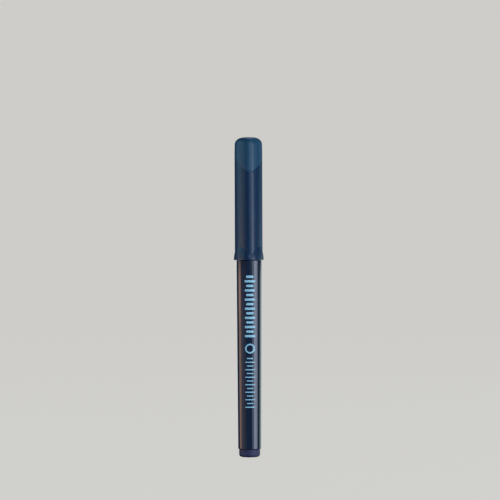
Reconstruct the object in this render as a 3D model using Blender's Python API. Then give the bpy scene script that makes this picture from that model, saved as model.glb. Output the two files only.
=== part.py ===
"""Counterfeit detector pen: a capped fibre-tip marker, standing on its tail with the cap on.

Heights are measured up from the tail face and radii out from the pen's axis, both in
millimetres. The meshes are scaled to metres as they are made. One ridge of the three-sided
cap faces -Y.
"""

import math

import bmesh
import bpy

MM = 0.001
GAP = 0.3

# Whole pen
PEN_LENGTH = 137.0

# Barrel: a tube that narrows from the cap towards the tail
BARREL_TAIL_Z = 3.4
BARREL_FRONT_Z = 84.1
BARREL_TAIL_RADIUS = 4.9
BARREL_FRONT_RADIUS = 5.35
BARREL_BORE_RADIUS = 4.2
BARREL_EDGE = 0.2

# End plug: a cup pressed into the tail of the barrel
PLUG_RADIUS = 4.5
PLUG_FLAT_RADIUS = 3.4
PLUG_EDGE_STEPS = 6
PLUG_FLOOR_Z = 2.0
PLUG_SPIGOT_TOP_Z = 12.4
PLUG_SPIGOT_LEAD = 0.4

# Ink store: a fibre rod in a thin film sleeve
SLEEVE_RADIUS = 2.95
SLEEVE_WALL = 0.2
SLEEVE_BOTTOM_Z = 4.5
SLEEVE_TOP_Z = 93.0
INK_ROD_BOTTOM_Z = 4.0
INK_ROD_TOP_Z = 93.5
INK_ROD_SOCKET_Z = 84.5

# Front section: shank in the barrel, flange on its end, collar for the cap, cone and ferrule
SHANK_BOTTOM_Z = 76.0
FLANGE_HEIGHT = 0.6
FLANGE_RADIUS = 4.9
COLLAR_RADIUS = 3.95
COLLAR_TOP_Z = 95.0
SNAP_RING_Z = 92.0
SNAP_RING_HEIGHT = 1.6
SNAP_RING_PROUD = 0.15
CONE_TOP_Z = 121.0
CONE_TOP_RADIUS = 2.7
CONE_FULLNESS = 1.1
CONE_STEPS = 8
FERRULE_GROOVE = 0.15
FERRULE_GROOVE_HEIGHT = 0.4
FERRULE_TOP_Z = 124.5
NECK_Z = 94.2

# Nib: a bonded fibre rod with a pointed tail and a chisel tip
NIB_RADIUS = 1.9
NIB_TAIL_RADIUS = 1.1
NIB_TAIL_Z = 85.2
NIB_SHOULDER_Z = 93.8
NIB_TIP_Z = 128.5
NIB_CHISEL_Z = 125.2
NIB_TIP_THICKNESS = 1.0
NIB_SLANT_DROP = 1.6

# Cap shell: a rounded three-sided sleeve that flares at its rim, with a head that ends in a
# slanting lip
CAP_RIM_Z = 84.4
CAP_RIM_GROWTH = 0.45
CAP_FLARE_FACE_Z = 90.2
CAP_FLARE_RIDGE_Z = 87.0
CAP_FLARE_STEPS = 6
CAP_RIDGE_RADIUS = 2.8
CAP_RIDGE_OFFSET = 3.65
CAP_FACE_CENTRE = 7.5
CAP_HEAD_LOW_Z = 122.1
CAP_HEAD_SLOPE = 0.92
CAP_HEAD_ROUND_RADIUS = 6.5
CAP_HEAD_ROUNDNESS = 0.12
CAP_HEAD_STEP_HEIGHT = 0.4
CAP_HEAD_TAPER = 0.1
CAP_CROWN_Z = 134.1
CAP_CROWN_FLAT_SHARE = 0.42
CAP_CROWN_STEPS = 8
CAP_EDGE = 0.12
CAP_COUNTERBORE_RADIUS = 5.2
CAP_COUNTERBORE_TOP_Z = 85.3
CAP_BORE_RADIUS = 4.4
CAP_CEILING_Z = 134.7

# Inner cap: the sealing cup inside the cap's head
INNER_CAP_WALL = 0.6
INNER_CAP_MOUTH_Z = 110.5
INNER_CAP_LIP = 0.2
INNER_CAP_LIP_HEIGHT = 1.0

CAP_SIDES = 72
FINE_SIDES = 48
SMALL_SIDES = 32
SHARP_ANGLE = math.radians(35)
FACING = -math.pi / 2


def clear_scene():
    for obj in list(bpy.data.objects):
        bpy.data.objects.remove(obj, do_unlink=True)


def value_at(quantity, angle):
    """A station's radius or height, which may be a number or a function of the angle."""
    return quantity(angle) if callable(quantity) else quantity


def station_ring(bm, radius, height, sides):
    """One ring of a loft, or its single point where the radius is zero."""
    if radius == 0:
        return [bm.verts.new((0, 0, height * MM))]
    ring = []
    for i in range(sides):
        angle = math.tau * i / sides
        reach = value_at(radius, angle) * MM
        z = value_at(height, angle) * MM
        ring.append(bm.verts.new((reach * math.cos(angle), reach * math.sin(angle), z)))
    return ring


def bridge(bm, lower, upper):
    """Joins two neighbouring rings, either of which may be a single point."""
    count = max(len(lower), len(upper))
    for i in range(count):
        j = (i + 1) % count
        corners = [lower[i % len(lower)], lower[j % len(lower)]]
        corners += [upper[j % len(upper)], upper[i % len(upper)]]
        bm.faces.new(list(dict.fromkeys(corners)))


def loft(stations, sides, closed=False):
    """Solid through stations of (radius, height) in the pen's frame.

    An open run starts and ends on the axis. A closed run joins its last station to its first,
    which makes a tube.
    """
    bm = bmesh.new()
    rings = [station_ring(bm, radius, height, sides) for radius, height in stations]
    pairs = list(zip(rings, rings[1:]))
    if closed:
        pairs.append((rings[-1], rings[0]))
    for lower, upper in pairs:
        bridge(bm, lower, upper)
    bmesh.ops.recalc_face_normals(bm, faces=bm.faces)
    return bm


def add_object(name, bm, material, parent):
    """Puts a mesh that is built in the pen's frame under its parent empty."""
    bmesh.ops.translate(bm, verts=bm.verts, vec=-parent.location)
    mesh = bpy.data.meshes.new(name)
    bm.to_mesh(mesh)
    bm.free()
    mesh.shade_smooth()
    mesh.set_sharp_from_angle(angle=SHARP_ANGLE)
    mesh.materials.append(material)
    obj = bpy.data.objects.new(name, mesh)
    obj.parent = parent
    bpy.context.scene.collection.objects.link(obj)
    return obj


def add_empty(name, height):
    empty = bpy.data.objects.new(name, None)
    empty.location = (0, 0, height * MM)
    empty.empty_display_size = PEN_LENGTH * MM / 10
    bpy.context.scene.collection.objects.link(empty)
    return empty


def make_material(name, colour, roughness):
    material = bpy.data.materials.new(name)
    material.use_nodes = True
    shader = material.node_tree.nodes["Principled BSDF"]
    shader.inputs["Base Color"].default_value = (*colour, 1)
    shader.inputs["Roughness"].default_value = roughness
    shader.inputs["Metallic"].default_value = 0
    return material


def quarter_arc(steps, from_radius, from_z, to_radius, to_z):
    """Stations of a quarter ellipse that leaves from_radius, from_z along a face of the tail."""
    stations = []
    for i in range(steps + 1):
        turn = math.pi / 2 * i / steps
        radius = from_radius + (to_radius - from_radius) * math.sin(turn)
        stations.append((radius, from_z + (to_z - from_z) * (1 - math.cos(turn))))
    return stations


def off_ridge(angle):
    """Angle from the nearest ridge of the cap, from 0 on a ridge to 60 degrees on a face."""
    turn = (angle - FACING) % (math.tau / 3)
    return min(turn, math.tau / 3 - turn)


def cap_face_radius():
    """Radius of the three face arcs, which meet the ridge arcs without a corner."""
    return CAP_RIDGE_RADIUS + math.hypot(
        CAP_RIDGE_OFFSET / 2 + CAP_FACE_CENTRE, CAP_RIDGE_OFFSET * math.sin(math.pi / 3)
    )


def cap_body_radius(angle, growth=0):
    """Rounded three-sided section: three ridge arcs joined by three shallow face arcs.

    Growth moves the whole outline outwards.
    """
    ridge_radius = CAP_RIDGE_RADIUS + growth
    face_radius = cap_face_radius() + growth
    off = off_ridge(angle)
    to_face = math.pi / 3 - off
    on_face = math.sqrt(face_radius**2 - (CAP_FACE_CENTRE * math.sin(to_face)) ** 2)
    on_face -= CAP_FACE_CENTRE * math.cos(to_face)
    joint_turn = math.pi / 3 - math.atan2(
        CAP_RIDGE_OFFSET * math.sin(math.pi / 3), CAP_RIDGE_OFFSET / 2 + CAP_FACE_CENTRE
    )
    joint_x = CAP_RIDGE_OFFSET + ridge_radius * math.cos(joint_turn)
    joint_y = ridge_radius * math.sin(joint_turn)
    if off >= math.atan2(joint_y, joint_x):
        return on_face
    sideways = CAP_RIDGE_OFFSET * math.sin(off)
    return CAP_RIDGE_OFFSET * math.cos(off) + math.sqrt(ridge_radius**2 - sideways**2)


def cap_lip_radius(angle):
    """The head's section at its lip: the body's, drawn a little way towards a circle."""
    body = cap_body_radius(angle)
    return body + (CAP_HEAD_ROUND_RADIUS - body) * CAP_HEAD_ROUNDNESS


def cap_head_edge_z(angle):
    """The head's lip: a slanting cut, lowest on the ridge that faces -Y and highest behind."""
    depth = cap_body_radius(FACING) - cap_body_radius(angle) * math.cos(angle - FACING)
    return CAP_HEAD_LOW_Z + CAP_HEAD_SLOPE * depth


def cap_flare_top_z(angle):
    """The line where the flare starts: highest on the faces and lowest on the ridges."""
    face_reach = cap_face_radius() - CAP_FACE_CENTRE
    ridge_reach = CAP_RIDGE_OFFSET + CAP_RIDGE_RADIUS
    to_ridge = (cap_body_radius(angle) - face_reach) / (ridge_reach - face_reach)
    return CAP_FLARE_FACE_Z + (CAP_FLARE_RIDGE_Z - CAP_FLARE_FACE_Z) * to_ridge


def cap_flare_station(share):
    """The flare, from the line where it starts, at 0, down to the rim, at 1."""
    growth = CAP_RIM_GROWTH * (1 - (1 - share) ** 2)
    bottom = CAP_RIM_Z + CAP_EDGE
    return (
        lambda angle: cap_body_radius(angle, growth),
        lambda angle: cap_flare_top_z(angle) + (bottom - cap_flare_top_z(angle)) * share,
    )


def cap_crown_stations():
    """The domed crown, from the rim of its small flat top down to the head."""
    stations = []
    for i in range(CAP_CROWN_STEPS + 1):
        turn = math.pi / 2 * i / CAP_CROWN_STEPS
        share = CAP_CROWN_FLAT_SHARE + (1 - CAP_CROWN_FLAT_SHARE) * math.sin(turn)
        height = CAP_CROWN_Z + (PEN_LENGTH - CAP_CROWN_Z) * math.cos(turn)
        stations.append(
            (lambda angle, share=share: (cap_lip_radius(angle) - CAP_HEAD_TAPER) * share, height)
        )
    return stations


def make_barrel(material, parent):
    outer = [
        (BARREL_FRONT_RADIUS - BARREL_EDGE, BARREL_FRONT_Z),
        (BARREL_FRONT_RADIUS, BARREL_FRONT_Z - BARREL_EDGE),
        (BARREL_TAIL_RADIUS, BARREL_TAIL_Z + BARREL_EDGE),
        (BARREL_TAIL_RADIUS - BARREL_EDGE, BARREL_TAIL_Z),
    ]
    bore = [(BARREL_BORE_RADIUS, BARREL_TAIL_Z), (BARREL_BORE_RADIUS, BARREL_FRONT_Z)]
    add_object("barrel", loft(outer + bore, FINE_SIDES, closed=True), material, parent)


def make_end_plug(material, parent):
    flange_top = BARREL_TAIL_Z - GAP
    spigot = BARREL_BORE_RADIUS - GAP
    cup = SLEEVE_RADIUS + GAP
    foot = PLUG_RADIUS - PLUG_FLAT_RADIUS
    stations = [(0, 0)]
    stations += quarter_arc(PLUG_EDGE_STEPS, PLUG_FLAT_RADIUS, 0, PLUG_RADIUS, foot)
    stations += [
        (PLUG_RADIUS, flange_top - BARREL_EDGE),
        (PLUG_RADIUS - BARREL_EDGE, flange_top),
        (spigot, flange_top),
        (spigot, PLUG_SPIGOT_TOP_Z - PLUG_SPIGOT_LEAD),
        (spigot - PLUG_SPIGOT_LEAD / 2, PLUG_SPIGOT_TOP_Z),
        (cup, PLUG_SPIGOT_TOP_Z),
        (cup, PLUG_FLOOR_Z),
        (0, PLUG_FLOOR_Z),
    ]
    add_object("end_plug", loft(stations, FINE_SIDES), material, parent)


def make_front_section(material, parent):
    flange_z = BARREL_FRONT_Z + GAP
    shank = BARREL_BORE_RADIUS - GAP
    bore = SLEEVE_RADIUS + GAP
    neck = NIB_RADIUS + GAP
    ring = COLLAR_RADIUS + SNAP_RING_PROUD
    outer = [
        (shank, SHANK_BOTTOM_Z),
        (shank, flange_z),
        (FLANGE_RADIUS, flange_z),
        (FLANGE_RADIUS, flange_z + FLANGE_HEIGHT),
        (COLLAR_RADIUS, flange_z + FLANGE_HEIGHT),
        (COLLAR_RADIUS, SNAP_RING_Z - SNAP_RING_HEIGHT / 2),
        (ring, SNAP_RING_Z),
        (COLLAR_RADIUS, SNAP_RING_Z + SNAP_RING_HEIGHT / 2),
    ]
    for i in range(CONE_STEPS + 1):
        share = i / CONE_STEPS
        radius = COLLAR_RADIUS - (COLLAR_RADIUS - CONE_TOP_RADIUS) * share**CONE_FULLNESS
        outer.append((radius, COLLAR_TOP_Z + (CONE_TOP_Z - COLLAR_TOP_Z) * share))
    outer += [
        (CONE_TOP_RADIUS - FERRULE_GROOVE, CONE_TOP_Z + FERRULE_GROOVE_HEIGHT / 2),
        (CONE_TOP_RADIUS, CONE_TOP_Z + FERRULE_GROOVE_HEIGHT),
        (CONE_TOP_RADIUS - FERRULE_GROOVE / 2, FERRULE_TOP_Z - BARREL_EDGE),
        (CONE_TOP_RADIUS - FERRULE_GROOVE, FERRULE_TOP_Z),
    ]
    inner = [(neck, FERRULE_TOP_Z), (neck, NECK_Z), (bore, NECK_Z), (bore, SHANK_BOTTOM_Z)]
    mesh = loft(outer + inner, SMALL_SIDES, closed=True)
    add_object("front_section", mesh, material, parent)


def cut_away(bm, point, normal):
    """Cuts off what lies beyond a plane and closes the solid again."""
    geometry = bm.verts[:] + bm.edges[:] + bm.faces[:]
    bmesh.ops.bisect_plane(bm, geom=geometry, plane_co=point, plane_no=normal, clear_outer=True)
    rim = [edge for edge in bm.edges if edge.is_boundary]
    bmesh.ops.holes_fill(bm, edges=rim, sides=0)


def make_nib(material, parent):
    bm = loft(
        [
            (0, NIB_TAIL_Z),
            (NIB_TAIL_RADIUS / 2, NIB_TAIL_Z),
            (NIB_TAIL_RADIUS, NIB_TAIL_Z + NIB_TAIL_RADIUS),
            (NIB_TAIL_RADIUS, NIB_SHOULDER_Z - NIB_TAIL_RADIUS),
            (NIB_RADIUS, NIB_SHOULDER_Z + NIB_TAIL_RADIUS),
            (NIB_RADIUS, NIB_TIP_Z),
            (0, NIB_TIP_Z),
        ],
        SMALL_SIDES,
    )
    lean = NIB_RADIUS - NIB_TIP_THICKNESS / 2
    for side in (-1, 1):
        point = (0, side * NIB_TIP_THICKNESS / 2 * MM, NIB_TIP_Z * MM)
        cut_away(bm, point, (0, side * (NIB_TIP_Z - NIB_CHISEL_Z), lean))
    cut_away(bm, (NIB_RADIUS * MM, 0, NIB_TIP_Z * MM), (-NIB_SLANT_DROP, 0, 2 * NIB_RADIUS))
    bmesh.ops.recalc_face_normals(bm, faces=bm.faces)
    add_object("nib", bm, material, parent)


def make_ink_reservoir(material, parent):
    radius = SLEEVE_RADIUS - SLEEVE_WALL - GAP
    socket = NIB_TAIL_RADIUS + GAP
    stations = [
        (0, INK_ROD_BOTTOM_Z),
        (radius, INK_ROD_BOTTOM_Z),
        (radius, INK_ROD_TOP_Z),
        (socket, INK_ROD_TOP_Z),
        (socket, INK_ROD_SOCKET_Z),
        (0, INK_ROD_SOCKET_Z),
    ]
    add_object("ink_reservoir", loft(stations, SMALL_SIDES), material, parent)


def make_reservoir_film(material, parent):
    inner = SLEEVE_RADIUS - SLEEVE_WALL
    stations = [
        (SLEEVE_RADIUS, SLEEVE_BOTTOM_Z),
        (SLEEVE_RADIUS, SLEEVE_TOP_Z),
        (inner, SLEEVE_TOP_Z),
        (inner, SLEEVE_BOTTOM_Z),
    ]
    add_object("reservoir_film", loft(stations, SMALL_SIDES, closed=True), material, parent)


def make_cap_shell(material, parent):
    stations = [(0, PEN_LENGTH)]
    stations += cap_crown_stations()
    stations += [
        (cap_lip_radius, cap_head_edge_z),
        (cap_body_radius, lambda angle: cap_head_edge_z(angle) - CAP_HEAD_STEP_HEIGHT),
    ]
    stations += [cap_flare_station(i / CAP_FLARE_STEPS) for i in range(CAP_FLARE_STEPS + 1)]
    stations += [
        (lambda angle: cap_body_radius(angle, CAP_RIM_GROWTH - CAP_EDGE), CAP_RIM_Z),
        (CAP_COUNTERBORE_RADIUS, CAP_RIM_Z),
        (CAP_COUNTERBORE_RADIUS, CAP_COUNTERBORE_TOP_Z),
        (CAP_BORE_RADIUS, CAP_COUNTERBORE_TOP_Z),
        (CAP_BORE_RADIUS, CAP_CEILING_Z),
        (0, CAP_CEILING_Z),
    ]
    add_object("cap_shell", loft(stations, CAP_SIDES), material, parent)


def make_inner_cap(material, parent):
    outer = CAP_BORE_RADIUS - GAP
    inner = outer - INNER_CAP_WALL
    top = CAP_CEILING_Z - GAP
    stations = [
        (0, top),
        (outer - INNER_CAP_LIP, top),
        (outer, top - INNER_CAP_LIP),
        (outer, INNER_CAP_MOUTH_Z),
        (inner + INNER_CAP_LIP, INNER_CAP_MOUTH_Z),
        (inner, INNER_CAP_MOUTH_Z + INNER_CAP_LIP_HEIGHT),
        (inner, top - INNER_CAP_WALL),
        (0, top - INNER_CAP_WALL),
    ]
    add_object("inner_cap", loft(stations, SMALL_SIDES), material, parent)


def main():
    clear_scene()
    pen = add_empty("pen", 0)
    cap = add_empty("cap", CAP_RIM_Z)

    gloss_navy = make_material("gloss_navy_plastic", (0.006, 0.009, 0.022), 0.12)
    plug_navy = make_material("plug_navy_plastic", (0.031, 0.026, 0.068), 0.45)
    black = make_material("black_plastic", (0.01, 0.01, 0.012), 0.4)
    cap_blue = make_material("cap_blue_plastic", (0.012, 0.03, 0.07), 0.35)
    seal_white = make_material("seal_plastic", (0.6, 0.62, 0.64), 0.4)
    fibre = make_material("ink_fibre", (0.45, 0.25, 0.06), 0.9)
    film = make_material("clear_film", (0.75, 0.78, 0.8), 0.15)
    felt = make_material("nib_felt", (0.42, 0.27, 0.06), 0.85)

    make_barrel(gloss_navy, pen)
    make_end_plug(plug_navy, pen)
    make_front_section(black, pen)
    make_nib(felt, pen)
    make_ink_reservoir(fibre, pen)
    make_reservoir_film(film, pen)
    make_cap_shell(cap_blue, cap)
    make_inner_cap(seal_white, cap)


main()
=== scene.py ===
"""Looks of the counterfeit detector pen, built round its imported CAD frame.

Heights are measured up from the tail face and radii out from the pen's axis, both in
millimetres. The meshes are scaled to metres as they are made.
"""

import math

import bmesh
import bpy
from mathutils import Matrix, Vector


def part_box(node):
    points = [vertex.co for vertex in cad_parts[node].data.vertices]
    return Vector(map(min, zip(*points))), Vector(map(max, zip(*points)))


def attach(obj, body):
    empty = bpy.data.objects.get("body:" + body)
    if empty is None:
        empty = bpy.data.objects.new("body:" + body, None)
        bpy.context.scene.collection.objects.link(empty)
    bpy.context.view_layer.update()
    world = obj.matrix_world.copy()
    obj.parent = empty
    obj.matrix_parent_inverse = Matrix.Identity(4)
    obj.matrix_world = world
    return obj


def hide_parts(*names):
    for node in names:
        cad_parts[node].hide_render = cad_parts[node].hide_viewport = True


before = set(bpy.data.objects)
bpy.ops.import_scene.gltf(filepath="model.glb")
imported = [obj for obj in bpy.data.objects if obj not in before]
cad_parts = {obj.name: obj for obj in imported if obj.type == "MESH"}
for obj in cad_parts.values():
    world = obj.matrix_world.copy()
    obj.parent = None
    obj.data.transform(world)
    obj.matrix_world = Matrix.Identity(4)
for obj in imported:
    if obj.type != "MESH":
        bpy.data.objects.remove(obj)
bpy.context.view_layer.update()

MM = 0.001
GAP = 0.3
PRESSED_GAP = 0.06
FINE_SIDES = 192
SMALL_SIDES = 96
SHARP_ANGLE = math.radians(40)
LONG_SIDE = 3.0
SUPPORT = 0.15
FACING = -math.pi / 2

# Camera: level, a little to the left of the cap's front ridge, and rolled slightly
SENSOR = 36.0
LENS = 135.0
VIEW_HEIGHT = 214.7
AIM_X = 0.45
AIM_Z = 88.7
CAMERA_TURN = math.radians(-3.5)
CAMERA_ROLL = math.radians(-0.2)

# Stage and light: lengths in metres, light as radiance
FLOOR_RADIUS = 1.1
COVE_RADIUS = 0.4
WALL_TOP = 1.6
FLOOR_DROP = 0.05 * MM
BACKDROP_GLOW = 0.615
SKY_COLOUR = (0.22, 0.48, 1)
SKY_STRENGTH = 0.2
PANEL_REACH = 0.6
CROWN_LIGHT_PLACE = (0.05, 0.3, 0.55)
CROWN_LIGHT_SIZE = (0.3, 0.25)
CROWN_LIGHT_RADIANCE = 1.6

# Upright soft panels round the pen: (name, first and last bearing in degrees from the camera,
# bottom and top height, radiance, colour). Most end below or above the height that the cap's
# rim reflects, so that the barrel and the cap are lit apart.
COOL_WHITE = (0.68, 0.82, 1)
PANELS = (
    ("key_wide", 27, 93, -0.1, 0.142, 2.4, COOL_WHITE),
    ("key_head", 30, 68, 0.142, 0.19, 2.2, COOL_WHITE),
    ("key_core", 46, 76, -0.1, 0.19, 4.2, (0.64, 0.75, 1)),
    ("front_fill", -29, 26, -0.27, 0.6, 0.5, SKY_COLOUR),
    ("cap_front", 9, 27, 0.088, 0.25, 2.2, COOL_WHITE),
    ("cap_high", -6, 60, 0.2, 0.75, 2.0, COOL_WHITE),
    ("warm_low", -114, -83, -0.08, 0.035, 2.6, (1, 0.64, 0.45)),
    ("warm_high", -114, -84, 0.035, 0.074, 3.9, (1, 0.62, 0.44)),
    ("left_fill", -82, -31, -0.27, 0.074, 0.6, (0.68, 0.72, 1)),
    ("left_core", -82, -54, -0.27, 0.05, 0.3, (1, 0.85, 0.85)),
    ("cool_left", -124, -84, 0.084, 0.145, 1.0, (0.3, 0.76, 1)),
    ("cool_head", -124, -70, 0.15, 0.5, 1.6, (0.35, 0.76, 1)),
    ("head_front", -60, 20, 0.155, 0.3, 0.52, (0.35, 0.7, 1)),
    ("rim_barrel", 121, 150, -0.2, 0.074, 1.8, (0.66, 0.9, 0.82)),
    ("rim_cap", 124, 150, 0.088, 0.35, 0.3, (0.5, 0.85, 1)),
)

# Cap shell, as in the CAD, with finer edges
RIM_GROWTH = 0.45
RIM_EDGE = 0.12
FLARE_FACE = 5.8
FLARE_RIDGE = 2.6
FLARE_FOOT = 0.3
FLARE_LEAD = 0.15
FLARE_LEDGE = 0.05
FLARE_LEDGE_HEIGHT = 0.04
RIDGE_RADIUS = 2.8
RIDGE_OFFSET = 3.65
FACE_CENTRE = 7.5
HEAD_HEIGHT = 14.9
HEAD_SLOPE = 0.92
HEAD_ROUND_RADIUS = 6.5
HEAD_ROUNDNESS = 0.12
HEAD_TAPER = 0.1
BODY_TOP_DROP = 0.5
LIP_GROOVE = 0.07
CROWN_HEIGHT = 2.9
CROWN_FLAT_SHARE = 0.42
GATE_RADIUS = 0.6
GATE_SLOPE = 0.1
GATE_DEPTH = 0.08
CAP_BORE_RADIUS = 4.4
CAP_COUNTERBORE_RADIUS = 5.2
CAP_COUNTERBORE_DEPTH = 0.9
CAP_COUNTERBORE_LEAD = 0.08
CAP_CEILING = 2.3

# Printed marks on the barrel, facing -Y: (bottom, pitch, count, width, height, corner radius)
BOLD_LONG_BARS = (50.0, 3.9, 7, 4.4, 1.0, 0.4)
BOLD_SHORT_BARS = (51.95, 3.9, 7, 3.2, 1.0, 0.4)
THIN_LONG_BARS = (20.0, 3.2, 7, 4.2, 0.45, 0.2)
THIN_SHORT_BARS = (21.6, 3.2, 7, 2.8, 0.45, 0.2)
RING_HEIGHT = 46.6
RING_RADIUS = 1.8
RING_WIDTH = 0.6
PRINT_SOFTNESS = 0.03


# ---------------------------------------------------------------- mesh tools


def span(node):
    """A CAD node's bottom, top and outer radius."""
    low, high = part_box(node)
    return low.z / MM, high.z / MM, (high.x - low.x) / 2 / MM


def value_at(quantity, angle):
    """A station's radius or height, which may be a number or a function of the angle."""
    return quantity(angle) if callable(quantity) else quantity


def ring_of(bm, radius, height, sides):
    """One ring of a loft, or its single point where the radius is zero."""
    if radius == 0:
        return [bm.verts.new((0, 0, height * MM))]
    ring = []
    for i in range(sides):
        angle = math.tau * i / sides
        reach = value_at(radius, angle) * MM
        z = value_at(height, angle) * MM
        ring.append(bm.verts.new((reach * math.cos(angle), reach * math.sin(angle), z)))
    return ring


def bridge(bm, lower, upper):
    """Joins two neighbouring rings, either of which may be a single point."""
    count = max(len(lower), len(upper))
    faces = []
    for i in range(count):
        j = (i + 1) % count
        corners = [lower[i % len(lower)], lower[j % len(lower)]]
        corners += [upper[j % len(upper)], upper[i % len(upper)]]
        faces.append(bm.faces.new(list(dict.fromkeys(corners))))
    return faces


def loft(stations, sides, closed=False, accent=range(0)):
    """Solid through stations of (radius, height).

    An open run ends on the axis, and a closed one is a tube. The bands that start at the
    stations in accent take the piece's second material.
    """
    bm = bmesh.new()
    rings = [ring_of(bm, radius, height, sides) for radius, height in stations]
    pairs = list(zip(rings, rings[1:]))
    if closed:
        pairs.append((rings[-1], rings[0]))
    for i, (lower, upper) in enumerate(pairs):
        for face in bridge(bm, lower, upper):
            face.material_index = int(i in accent)
    bmesh.ops.recalc_face_normals(bm, faces=bm.faces)
    return bm


def rounded(path, closed=False, steps=5):
    """Stations along a path of (radius, height, corner radius), with an arc at each corner.

    A long straight side gets one more station beside each arc, so that it shades flat.
    """
    stations = []
    count = len(path)
    for i, (x, z, corner) in enumerate(path):
        at_end = not closed and i in (0, count - 1)
        if corner == 0 or at_end:
            stations.append((x, z))
            continue
        here = Vector((x, z))
        to_last = Vector(path[i - 1][:2]) - here
        to_next = Vector(path[(i + 1) % count][:2]) - here
        before, after = to_last.normalized(), to_next.normalized()
        half = before.angle(after) / 2
        reach = corner / math.tan(half)
        centre = here + (before + after).normalized() * corner / math.sin(half)
        first = here + before * reach - centre
        last = here + after * reach - centre
        if to_last.length > LONG_SIDE:
            stations.append(tuple(here + before * (reach + SUPPORT)))
        for k in range(steps + 1):
            spoke = first.slerp(last, k / steps).normalized()
            stations.append(tuple(centre + spoke * corner))
        if to_next.length > LONG_SIDE:
            stations.append(tuple(here + after * (reach + SUPPORT)))
    return stations


def add_piece(node, bm, materials, body):
    """A fine mesh that stands for a CAD node and moves with its body."""
    name = node + "_skin"
    mesh = bpy.data.meshes.new(name)
    bm.to_mesh(mesh)
    bm.free()
    mesh.shade_smooth()
    mesh.set_sharp_from_angle(angle=SHARP_ANGLE)
    for material in materials:
        mesh.materials.append(material)
    piece = bpy.data.objects.new(name, mesh)
    bpy.context.scene.collection.objects.link(piece)
    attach(piece, body)
    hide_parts(node)


# ---------------------------------------------------------------- materials


class Surface:
    """A Principled material with short ways to add and link its nodes."""

    def __init__(self, name, colour, roughness):
        self.material = bpy.data.materials.new(name)
        self.material.use_nodes = True
        self.tree = self.material.node_tree
        self.shader = self.tree.nodes["Principled BSDF"]
        self.set("Base Color", (*colour, 1))
        self.set("Roughness", roughness)
        self.place = self.add("ShaderNodeTexCoord").outputs["Object"]

    def set(self, socket, value):
        self.shader.inputs[socket].default_value = value

    def drive(self, socket, source):
        self.tree.links.new(source, self.shader.inputs[socket])

    def add(self, kind, **values):
        node = self.tree.nodes.new(kind)
        for key, value in values.items():
            setattr(node, key, value)
        return node

    def feed(self, socket, value):
        """Puts a number on a socket, or links another socket to it."""
        if isinstance(value, bpy.types.NodeSocket):
            self.tree.links.new(value, socket)
        else:
            socket.default_value = value

    def calc(self, operation, *values):
        node = self.add("ShaderNodeMath", operation=operation)
        for socket, value in zip(node.inputs, values):
            self.feed(socket, value)
        return node.outputs[0]

    def noise(self, scale, detail, stretch=(1, 1, 1)):
        """Noise of about scale ups and downs a metre, drawn out where stretch is under 1."""
        mapping = self.add("ShaderNodeMapping")
        mapping.inputs["Scale"].default_value = stretch
        self.feed(mapping.inputs["Vector"], self.place)
        noise = self.add("ShaderNodeTexNoise")
        noise.inputs["Scale"].default_value = scale
        noise.inputs["Detail"].default_value = detail
        self.feed(noise.inputs["Vector"], mapping.outputs["Vector"])
        return noise.outputs["Fac"]

    def spread(self, source, low, high, from_low=0.3, from_high=0.7):
        """Stretches a value from one range to another, and stops it at the ends."""
        scaled = self.add("ShaderNodeMapRange")
        limits = (from_low, from_high, low, high)
        for socket, limit in zip(("From Min", "From Max", "To Min", "To Max"), limits):
            scaled.inputs[socket].default_value = limit
        self.feed(scaled.inputs["Value"], source)
        return scaled.outputs["Result"]

    def blend(self, share, low, high):
        """A colour between two others, each a plain colour or a socket."""
        ramp = self.add("ShaderNodeMix", data_type="RGBA")
        factor, a, b = ramp.inputs[0], ramp.inputs[6], ramp.inputs[7]
        self.feed(factor, share)
        self.feed(a, low if isinstance(low, bpy.types.NodeSocket) else (*low, 1))
        self.feed(b, high if isinstance(high, bpy.types.NodeSocket) else (*high, 1))
        return ramp.outputs[2]

    def bump(self, source, distance, strength=1.0):
        bump = self.add("ShaderNodeBump")
        bump.inputs["Strength"].default_value = strength
        bump.inputs["Distance"].default_value = distance
        self.feed(bump.inputs["Height"], source)
        last = self.shader.inputs["Normal"]
        if last.is_linked:
            self.feed(bump.inputs["Normal"], last.links[0].from_socket)
        self.feed(last, bump.outputs["Normal"])

    def scratches(self, density):
        """Fine hairlines that run along the pen, from 0 to 1."""
        hairs = self.noise(2600, 3, (1, 1, 0.03))
        return self.spread(hairs, 0, 1, 1 - density, 1 - density / 2)


def shade(colour, factor):
    return tuple(channel * factor for channel in colour)


def moulded(name, colour, roughness, grain, variation=0.12, specular=0.5):
    """Injection-moulded plastic: flow marks, handling hairlines and a grain of that depth."""
    m = Surface(name, colour, roughness)
    m.set("Specular IOR Level", specular)
    flow = m.spread(m.noise(260, 3, (1, 1, 0.1)), 0, 1)
    tint = m.blend(flow, shade(colour, 1 - variation), shade(colour, 1 + variation))
    m.drive("Base Color", tint)
    mottle = m.spread(m.noise(900, 2), roughness - 0.02, roughness + 0.02)
    m.drive("Roughness", m.calc("ADD", mottle, m.calc("MULTIPLY", m.scratches(0.4), 0.08)))
    m.bump(m.noise(9000, 2), grain * MM)
    return m.material


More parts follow.
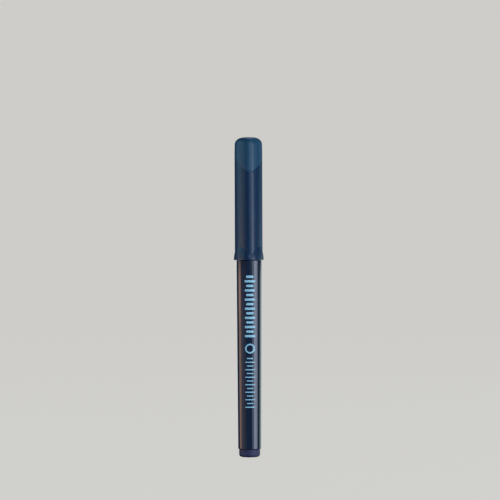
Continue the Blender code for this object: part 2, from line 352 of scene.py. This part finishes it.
def bar_row(m, x, z, bottom, pitch, count, width, height, corner):
    """A row of rounded bars across the barrel, 1 on the bars and 0 off them."""
    turn = m.calc("DIVIDE", m.calc("SUBTRACT", z, bottom * MM), pitch * MM)
    cell = m.calc("SUBTRACT", m.calc("FRACT", turn), 0.5)
    along = m.calc("MULTIPLY", m.calc("ABSOLUTE", cell), pitch * MM)
    over_z = m.calc("MAXIMUM", m.calc("SUBTRACT", along, (height / 2 - corner) * MM), 0)
    across = m.calc("SUBTRACT", m.calc("ABSOLUTE", x), (width / 2 - corner) * MM)
    over_x = m.calc("MAXIMUM", across, 0)
    squares = m.calc("ADD", m.calc("POWER", over_z, 2), m.calc("POWER", over_x, 2))
    outside = m.calc("SUBTRACT", m.calc("SQRT", squares), corner * MM)
    bar = m.spread(outside, 1, 0, -PRINT_SOFTNESS * MM, PRINT_SOFTNESS * MM)
    in_row = m.calc("MULTIPLY", m.calc("GREATER_THAN", turn, 0), m.calc("LESS_THAN", turn, count))
    return m.calc("MULTIPLY", bar, in_row)


def ring_mark(m, x, z):
    """A plain ring, 1 on it and 0 off it."""
    away = m.calc("SUBTRACT", z, RING_HEIGHT * MM)
    squares = m.calc("ADD", m.calc("POWER", away, 2), m.calc("POWER", x, 2))
    off_line = m.calc("ABSOLUTE", m.calc("SUBTRACT", m.calc("SQRT", squares), RING_RADIUS * MM))
    outside = m.calc("SUBTRACT", off_line, RING_WIDTH / 2 * MM)
    return m.spread(outside, 1, 0, -PRINT_SOFTNESS * MM, PRINT_SOFTNESS * MM)


def barrel_plastic():
    """High-gloss dark navy with a faint orange-peel ripple, and matte light-blue print."""
    navy = (0.002, 0.0035, 0.012)
    print_blue = (0.36, 0.58, 0.57)
    m = Surface("barrel_gloss", navy, 0.12)
    axes = m.add("ShaderNodeSeparateXYZ")
    m.feed(axes.inputs[0], m.place)
    x, y, z = axes.outputs
    marks = ring_mark(m, x, z)
    for row in (BOLD_LONG_BARS, BOLD_SHORT_BARS, THIN_LONG_BARS, THIN_SHORT_BARS):
        marks = m.calc("MAXIMUM", marks, bar_row(m, x, z, *row))
    marks = m.calc("MULTIPLY", marks, m.calc("LESS_THAN", y, 0))
    speckle = m.spread(m.noise(5000, 3), 0, 1)
    ink = m.blend(speckle, shade(print_blue, 0.85), shade(print_blue, 1.1))
    m.drive("Base Color", m.blend(marks, navy, ink))
    gloss = m.spread(m.noise(500, 3, (1, 1, 0.2)), 0.09, 0.15)
    gloss = m.calc("ADD", gloss, m.calc("MULTIPLY", m.scratches(0.36), 0.06))
    m.drive("Roughness", m.calc("ADD", gloss, m.calc("MULTIPLY", marks, 0.25)))
    m.bump(m.noise(400, 1, (1, 1, 0.25)), 0.02 * MM, 0.25)
    m.bump(marks, 0.01 * MM, 0.5)
    return m.material


def fibre(name, low, high, stretch=0.08):
    """Bonded fibre strands along the pen, unevenly soaked with ink."""
    m = Surface(name, low, 0.85)
    strands = m.noise(4500, 4, (1, 1, stretch))
    soak = m.noise(350, 2)
    share = m.calc("MULTIPLY", m.spread(strands, 0.2, 1), m.spread(soak, 0.6, 1))
    m.drive("Base Color", m.blend(share, low, high))
    m.drive("Roughness", m.spread(strands, 0.7, 0.95))
    m.bump(strands, 0.08 * MM, 0.8)
    return m.material


def film_plastic():
    """Thin clear wrap, with faint creases."""
    m = Surface("clear_film", (0.75, 0.78, 0.8), 0.15)
    m.set("Alpha", 0.35)
    m.drive("Roughness", m.spread(m.noise(600, 2), 0.1, 0.25))
    m.bump(m.noise(700, 3, (1, 1, 0.3)), 0.05 * MM, 0.4)
    return m.material


# ---------------------------------------------------------------- cap


def off_ridge(angle):
    """Angle from the nearest ridge of the cap, from 0 on a ridge to 60 degrees on a face."""
    turn = (angle - FACING) % (math.tau / 3)
    return min(turn, math.tau / 3 - turn)


def face_radius():
    sideways = RIDGE_OFFSET * math.sin(math.pi / 3)
    return RIDGE_RADIUS + math.hypot(RIDGE_OFFSET / 2 + FACE_CENTRE, sideways)


def body_radius(angle, growth=0):
    """Rounded three-sided section: three ridge arcs joined by three shallow face arcs.

    Growth moves the whole outline outwards.
    """
    ridge = RIDGE_RADIUS + growth
    face = face_radius() + growth
    off = off_ridge(angle)
    to_face = math.pi / 3 - off
    on_face = math.sqrt(face**2 - (FACE_CENTRE * math.sin(to_face)) ** 2)
    on_face -= FACE_CENTRE * math.cos(to_face)
    lean = math.pi / 3 - math.atan2(
        RIDGE_OFFSET * math.sin(math.pi / 3), RIDGE_OFFSET / 2 + FACE_CENTRE
    )
    joint_x = RIDGE_OFFSET + ridge * math.cos(lean)
    joint_y = ridge * math.sin(lean)
    if off >= math.atan2(joint_y, joint_x):
        return on_face
    sideways = RIDGE_OFFSET * math.sin(off)
    return RIDGE_OFFSET * math.cos(off) + math.sqrt(ridge**2 - sideways**2)


def make_cap(body_material, head_material):
    rim, top, _ = span("cap_shell")
    crown = top - CROWN_HEIGHT
    face_reach = face_radius() - FACE_CENTRE
    ridge_reach = RIDGE_OFFSET + RIDGE_RADIUS

    def lip_radius(angle):
        body = body_radius(angle)
        return body + (HEAD_ROUND_RADIUS - body) * HEAD_ROUNDNESS

    def lip_z(angle):
        depth = body_radius(FACING) - body_radius(angle) * math.cos(angle - FACING)
        return top - HEAD_HEIGHT + HEAD_SLOPE * depth

    def crown_station(turn):
        share = CROWN_FLAT_SHARE + (1 - CROWN_FLAT_SHARE) * math.sin(turn)
        height = crown + CROWN_HEIGHT * math.cos(turn)
        return (lambda a: (lip_radius(a) - HEAD_TAPER) * share, height)

    def head_station(share):
        return (
            lambda a: lip_radius(a) - HEAD_TAPER * (1 - share),
            lambda a: crown + (lip_z(a) - crown) * share,
        )

    def lip_station(drop, inset, on_body=1):
        """A ring below the lip, on the head's outline at on_body 0 and on the body's at 1."""
        return (
            lambda a: lip_radius(a) + (body_radius(a) - lip_radius(a)) * on_body - inset,
            lambda a: lip_z(a) - drop,
        )

    def flare_z(angle):
        to_ridge = (body_radius(angle) - face_reach) / (ridge_reach - face_reach)
        return rim + FLARE_FACE + (FLARE_RIDGE - FLARE_FACE) * to_ridge

    def body_station(share):
        def height(angle):
            start = lip_z(angle) - BODY_TOP_DROP
            return start + (flare_z(angle) + FLARE_LEAD - start) * share

        return body_radius, height

    def flare_station(share):
        growth = FLARE_LEDGE + (RIM_GROWTH - FLARE_LEDGE) * (1 - (1 - share) ** 2)
        return (
            lambda a: body_radius(a, growth),
            lambda a: flare_z(a) + (rim + FLARE_FOOT - flare_z(a)) * share,
        )

    crown_steps, head_steps, body_steps, flare_steps, rim_steps = 16, 8, 12, 8, 4
    gate = top - GATE_DEPTH
    stations = [(0, gate), (GATE_RADIUS - GATE_SLOPE, gate), (GATE_RADIUS, top)]
    stations += [crown_station(math.pi / 2 * i / crown_steps) for i in range(crown_steps + 1)]
    stations += [head_station(i / head_steps) for i in range(1, head_steps)]
    stations += [
        lip_station(-0.12, 0, 0),
        lip_station(-0.03, 0.015, 0),
        lip_station(0.03, 0.06, 0.4),
        lip_station(0.06, LIP_GROOVE),
    ]
    head_bands = range(len(stations) - 1)
    stations += [
        lip_station(0.24, LIP_GROOVE),
        lip_station(0.34, 0.02),
        lip_station(0.42, 0),
    ]
    stations += [body_station(i / body_steps) for i in range(body_steps + 1)]
    stations += [(body_radius, lambda a: flare_z(a) + FLARE_LEDGE_HEIGHT)]
    stations += [flare_station(i / flare_steps) for i in range(flare_steps + 1)]
    for i in range(rim_steps + 1):
        turn = math.pi / 2 * i / rim_steps
        growth = RIM_GROWTH - RIM_EDGE * (1 - math.cos(turn))
        height = rim + RIM_EDGE * (1 - math.sin(turn))
        stations.append((lambda a, growth=growth: body_radius(a, growth), height))
    ceiling = top - CAP_CEILING
    counterbore_top = rim + CAP_COUNTERBORE_DEPTH
    stations += rounded(
        [
            (CAP_COUNTERBORE_RADIUS + CAP_COUNTERBORE_LEAD, rim, 0),
            (CAP_COUNTERBORE_RADIUS, rim + CAP_COUNTERBORE_LEAD, 0),
            (CAP_COUNTERBORE_RADIUS, counterbore_top, 0.1),
            (CAP_BORE_RADIUS, counterbore_top, 0.15),
            (CAP_BORE_RADIUS, ceiling, 0.3),
            (0, ceiling, 0),
        ]
    )
    mesh = loft(stations, FINE_SIDES, accent=head_bands)
    add_piece("cap_shell", mesh, (body_material, head_material), "cap")


def make_inner_cap(material):
    mouth, top, outer = span("inner_cap")
    wall, lip, lip_height = 0.6, 0.2, 1.0
    inner = outer - wall
    path = [
        (0, top, 0),
        (outer, top, 0.25),
        (outer, mouth, 0.15),
        (inner + lip, mouth, 0.1),
        (inner, mouth + lip_height, 0.3),
        (inner, top - wall, 0.4),
        (0, top - wall, 0),
    ]
    add_piece("inner_cap", loft(rounded(path), SMALL_SIDES), (material,), "cap")


# ---------------------------------------------------------------- pen


def make_barrel(material):
    """The barrel, which runs on until it all but meets the cap's rim."""
    tail, _, front_radius = span("barrel")
    front = span("cap_shell")[0] - PRESSED_GAP
    tail_radius, bore = 4.9, 4.2
    path = [
        (front_radius, front, 0.2),
        (tail_radius, tail, 0.2),
        (bore, tail, 0.1),
        (bore, front, 0.1),
    ]
    mesh = loft(rounded(path, closed=True), FINE_SIDES, closed=True)
    add_piece("barrel", mesh, (material,), "pen")


def make_end_plug(material):
    bottom, top, radius = span("end_plug")
    spigot, cup, floor, foot = 3.9, 3.25, 2.0, 1.1
    recess, recess_radius, recess_slope = 0.1, 1.0, 0.1
    shoulder = span("barrel")[0] - PRESSED_GAP
    path = [
        (0, bottom + recess, 0),
        (recess_radius - recess_slope, bottom + recess, 0.05),
        (recess_radius, bottom, 0.05),
        (radius, bottom, foot),
        (radius, shoulder, 0.15),
        (spigot, shoulder, 0),
        (spigot, top, 0.3),
        (cup, top, 0.1),
        (cup, floor, 0.4),
        (0, floor, 0),
    ]
    mesh = loft(rounded(path, steps=8), FINE_SIDES)
    add_piece("end_plug", mesh, (material,), "pen")


def make_front_section(material):
    bottom, top, flange = span("front_section")
    flange_z = span("barrel")[1] + GAP
    shank, collar, snap, bore, neck, ferrule = 3.9, 3.95, 4.1, 3.25, 2.2, 2.7
    snap_z, cone_z, cone_top, neck_z = 92.0, 95.0, 121.0, 94.2
    flange_height, snap_reach, groove, groove_height = 0.6, 0.8, 0.15, 0.4
    path = [
        (shank, bottom, 0.2),
        (shank, flange_z, 0),
        (flange, flange_z, 0.08),
        (flange, flange_z + flange_height, 0.15),
        (collar, flange_z + flange_height, 0.05),
        (collar, snap_z - snap_reach, 0.3),
        (snap, snap_z, 0.5),
        (collar, snap_z + snap_reach, 0.3),
    ]
    cone_steps, fullness = 20, 1.1
    for i in range(cone_steps + 1):
        share = i / cone_steps
        radius = collar - (collar - ferrule) * share**fullness
        path.append((radius, cone_z + (cone_top - cone_z) * share, 0))
    path += [
        (ferrule - groove, cone_top + groove_height / 2, 0.06),
        (ferrule, cone_top + groove_height, 0.05),
        (ferrule - groove / 3, top, 0.2),
        (neck, top, 0.08),
        (neck, neck_z, 0),
        (bore, neck_z, 0),
        (bore, bottom, 0.1),
    ]
    mesh = loft(rounded(path, closed=True), SMALL_SIDES, closed=True)
    add_piece("front_section", mesh, (material,), "pen")


def cut_away(bm, point, normal):
    """Cuts off what lies beyond a plane and closes the solid again."""
    geometry = bm.verts[:] + bm.edges[:] + bm.faces[:]
    bmesh.ops.bisect_plane(bm, geom=geometry, plane_co=point, plane_no=normal, clear_outer=True)
    rim = [edge for edge in bm.edges if edge.is_boundary]
    bmesh.ops.holes_fill(bm, edges=rim, sides=0)


def make_nib(material):
    tail, _, radius = span("nib")
    tail_radius, shoulder, chisel, full_tip = 1.1, 93.8, 125.2, 128.5
    thickness, slant, edge_radius = 1.0, 1.6, 0.1
    path = [
        (0, tail, 0),
        (tail_radius / 2, tail, 0),
        (tail_radius, tail + tail_radius, 0.3),
        (tail_radius, shoulder - tail_radius, 0.3),
        (radius, shoulder + tail_radius, 0.3),
        (radius, full_tip, 0),
        (0, full_tip, 0),
    ]
    bm = loft(rounded(path), SMALL_SIDES)
    for side in (-1, 1):
        point = (0, side * thickness / 2 * MM, full_tip * MM)
        cut_away(bm, point, (0, side * (full_tip - chisel), radius - thickness / 2))
    cut_away(bm, (radius * MM, 0, full_tip * MM), (-slant, 0, 2 * radius))
    bmesh.ops.recalc_face_normals(bm, faces=bm.faces)
    sharp = [
        edge
        for edge in bm.edges
        if edge.calc_face_angle(0) > SHARP_ANGLE / 2 and edge.verts[0].co.z > chisel * MM
    ]
    bmesh.ops.bevel(
        bm,
        geom=sharp,
        offset=edge_radius * MM,
        segments=3,
        profile=0.5,
        affect="EDGES",
        clamp_overlap=True,
    )
    add_piece("nib", bm, (material,), "pen")


def make_ink_reservoir(material):
    bottom, top, radius = span("ink_reservoir")
    socket, socket_z, strands, groove, end = 1.4, 84.5, 24, 0.06, 0.3

    def bundle(angle):
        return radius - groove * abs(math.sin(angle * strands / 2))

    stations = [
        (0, bottom),
        (radius - end, bottom),
        (bundle, bottom + end),
        (bundle, top - end),
        (radius - end, top),
        (socket, top),
        (socket, socket_z),
        (0, socket_z),
    ]
    mesh = loft(stations, FINE_SIDES)
    add_piece("ink_reservoir", mesh, (material,), "pen")


def make_reservoir_film(material):
    bottom, top, outer = span("reservoir_film")
    inner, edge = outer - 0.2, 0.05
    path = [(outer, bottom, edge), (outer, top, edge), (inner, top, edge), (inner, bottom, edge)]
    mesh = loft(rounded(path, closed=True, steps=2), SMALL_SIDES, closed=True)
    add_piece("reservoir_film", mesh, (material,), "pen")


# ---------------------------------------------------------------- stage


def make_stage():
    """A round pale room: a floor that curves up into the wall on every side."""
    cove_steps, inner_ring = 16, 0.3
    outline = [(0, 0), (inner_ring, 0), (FLOOR_RADIUS, 0)]
    for i in range(1, cove_steps + 1):
        turn = math.pi / 2 * i / cove_steps
        reach = FLOOR_RADIUS + COVE_RADIUS * math.sin(turn)
        outline.append((reach, COVE_RADIUS * (1 - math.cos(turn))))
    outline.append((FLOOR_RADIUS + COVE_RADIUS, WALL_TOP))
    bm = bmesh.new()
    rings = [
        ring_of(bm, radius / MM, (height - FLOOR_DROP) / MM, SMALL_SIDES)
        for radius, height in outline
    ]
    for lower, upper in zip(rings, rings[1:]):
        bridge(bm, lower, upper)
    mesh = bpy.data.meshes.new("backdrop")
    bm.to_mesh(mesh)
    bm.free()
    mesh.shade_smooth()
    m = Surface("backdrop", (0.012, 0.011, 0.01), 0.9)
    m.set("Emission Color", (1, 0.98, 0.93, 1))
    m.set("Emission Strength", BACKDROP_GLOW)
    mesh.materials.append(m.material)
    backdrop = bpy.data.objects.new("backdrop", mesh)
    backdrop.visible_glossy = False
    backdrop.visible_diffuse = False
    backdrop.visible_shadow = False
    bpy.context.scene.collection.objects.link(backdrop)


def make_camera():
    data = bpy.data.cameras.new("camera")
    data.sensor_width = SENSOR
    data.lens = LENS
    data.clip_start = 0.01
    camera = bpy.data.objects.new("camera", data)
    distance = VIEW_HEIGHT * LENS / SENSOR * MM
    right = Vector((math.cos(CAMERA_TURN), math.sin(CAMERA_TURN), 0))
    back = Vector((math.sin(CAMERA_TURN), -math.cos(CAMERA_TURN), 0))
    camera.location = right * AIM_X * MM + back * distance + Vector((0, 0, AIM_Z * MM))
    turn = Matrix.Rotation(CAMERA_TURN, 3, "Z") @ Matrix.Rotation(math.pi / 2, 3, "X")
    camera.rotation_euler = (turn @ Matrix.Rotation(CAMERA_ROLL, 3, "Z")).to_euler()
    bpy.context.scene.collection.objects.link(camera)
    bpy.context.scene.camera = camera


def make_world():
    world = bpy.data.worlds.new("world")
    world.use_nodes = True
    background = world.node_tree.nodes["Background"]
    background.inputs["Color"].default_value = (*SKY_COLOUR, 1)
    background.inputs["Strength"].default_value = SKY_STRENGTH
    bpy.context.scene.world = world


def area_light(name, place, aim, size, radiance, colour):
    """A one-sided rectangular panel, hidden from the camera, that faces a point."""
    data = bpy.data.lights.new(name, "AREA")
    data.shape = "RECTANGLE"
    data.size, data.size_y = size
    data.energy = radiance * math.pi * size[0] * size[1]
    data.color = colour
    light = bpy.data.objects.new(name, data)
    light.location = place
    light.rotation_euler = (Vector(aim) - Vector(place)).to_track_quat("-Z", "Y").to_euler()
    light.visible_camera = False
    bpy.context.scene.collection.objects.link(light)


def make_lights():
    for name, first, last, low, high, radiance, colour in PANELS:
        bearing = math.radians((first + last) / 2) + CAMERA_TURN
        width = 2 * PANEL_REACH * math.tan(math.radians((last - first) / 2))
        middle = (low + high) / 2
        place = (PANEL_REACH * math.sin(bearing), -PANEL_REACH * math.cos(bearing), middle)
        area_light(name, place, (0, 0, middle), (width, high - low), radiance, colour)
    crown = (0, 0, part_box("cap_shell")[1].z)
    colour = (0.85, 0.93, 1)
    area_light(
        "crown_light", CROWN_LIGHT_PLACE, crown, CROWN_LIGHT_SIZE, CROWN_LIGHT_RADIANCE, colour
    )


make_camera()
make_world()
make_lights()
make_stage()
bpy.context.scene.view_settings.view_transform = "Standard"

make_cap(
    moulded("cap_satin", (0.0045, 0.0205, 0.0455), 0.3, grain=0.005, specular=0.3),
    # The head takes a rougher copy of the cap plastic with a lighter base colour. The lighter
    # colour is painted light, standing in for the brighter reflection that the head shows.
    moulded("cap_head_satin_painted_light", (0.0148, 0.0535, 0.083), 0.34, grain=0.006, specular=0.3),
)
make_inner_cap(moulded("seal_plastic", (0.6, 0.62, 0.64), 0.4, grain=0.004, variation=0.03))
make_barrel(barrel_plastic())
make_end_plug(moulded("plug_matte", (0.04, 0.034, 0.066), 0.55, grain=0.015, specular=0.3))
make_front_section(moulded("section_black", (0.01, 0.01, 0.012), 0.38, grain=0.008))
make_nib(fibre("nib_felt", (0.42, 0.2, 0.025), (0.72, 0.4, 0.07), 0.2))
make_ink_reservoir(fibre("ink_fibre", (0.36, 0.18, 0.04), (0.5, 0.3, 0.08)))
make_reservoir_film(film_plastic())
